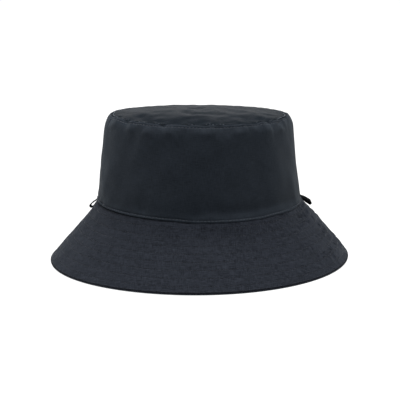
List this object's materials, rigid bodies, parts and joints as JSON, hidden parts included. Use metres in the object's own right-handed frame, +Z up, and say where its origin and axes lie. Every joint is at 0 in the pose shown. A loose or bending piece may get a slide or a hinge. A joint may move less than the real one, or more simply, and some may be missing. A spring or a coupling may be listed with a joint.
{
  "type": "bucket hat",
  "caption": "Dark bucket hat with a domed round tip, a sloping brim stitched in rings, a lining, a sweatband and a small folded tape loop at each side.",
  "frame": {"origin": "centre of the brim's rim, on the plane that the hat stands on", "axes": "+Z up, -Y to the front of the hat, +X to the wearer's left"},
  "size_m": [0.28, 0.291, 0.1382],
  "materials": {
    "crown_cloth": "matt fine plain weave, dark charcoal",
    "brim_cloth": "matt fine plain weave, dark charcoal, stitched in rings",
    "interlining": "stiff non-woven",
    "lining_cloth": "smooth thin lining weave",
    "sweatband_cloth": "soft ribbed tape",
    "loop_tape": "tight black woven tape",
    "thread": "polyester sewing thread, slight sheen",
    "label_satin": "blank white satin"
  },
  "bodies": {
    "hat": {"base_topstitch": "thread", "brim_edge_stitch": "thread", "brim_interlining_back": "interlining", "brim_interlining_front": "interlining", "brim_stitch_row_1": "thread", "brim_stitch_row_2": "thread", "brim_stitch_row_3": "thread", "brim_stitch_row_4": "thread", "brim_stitch_row_5": "thread", "brim_stitch_row_6": "thread", "brim_stitch_row_7": "thread", "brim_stitch_row_8": "thread", "brim_under_back": "brim_cloth", "brim_under_front": "brim_cloth", "brim_upper_back": "brim_cloth", "brim_upper_front": "brim_cloth", "crown_back_panel": "crown_cloth", "crown_front_panel": "crown_cloth", "crown_tip": "crown_cloth", "left_side_seam_stitch": "thread", "lining_back_panel": "lining_cloth", "lining_front_panel": "lining_cloth", "lining_tip": "lining_cloth", "right_side_seam_stitch": "thread", "sweatband": "sweatband_cloth", "tip_topstitch_lower": "thread", "tip_topstitch_upper": "thread"},
    "left_loop": {"left_loop": "loop_tape"},
    "right_loop": {"right_loop": "loop_tape"},
    "care_label": {"care_label": "label_satin"},
    "size_label": {"size_label": "label_satin"}
  },
  "joints": [
    {"name": "left_loop_flop", "type": "hinge", "parent": "hat", "child": "left_loop", "pos_m": [0.09505, 0.01501, 0.05306], "axis": [0.1398, -0.9902, 0], "range_deg": [-7, 127], "stiffness_Nm_per_rad": 0.0003},
    {"name": "right_loop_flop", "type": "hinge", "parent": "hat", "child": "right_loop", "pos_m": [-0.09505, 0.01501, 0.05306], "axis": [0.1398, 0.9902, 0], "range_deg": [0, 135], "stiffness_Nm_per_rad": 0.0003},
    {"name": "care_label_swing", "type": "hinge", "parent": "hat", "child": "care_label", "pos_m": [0, 0.09038, 0.07901], "axis": [-1, 0, 0], "range_deg": [-4, 150]},
    {"name": "size_label_swing", "type": "hinge", "parent": "hat", "child": "size_label", "pos_m": [0.03177, 0.08381, 0.07924], "axis": [-0.9187, 0.3948, 0], "range_deg": [-4, 150]}
  ]
}
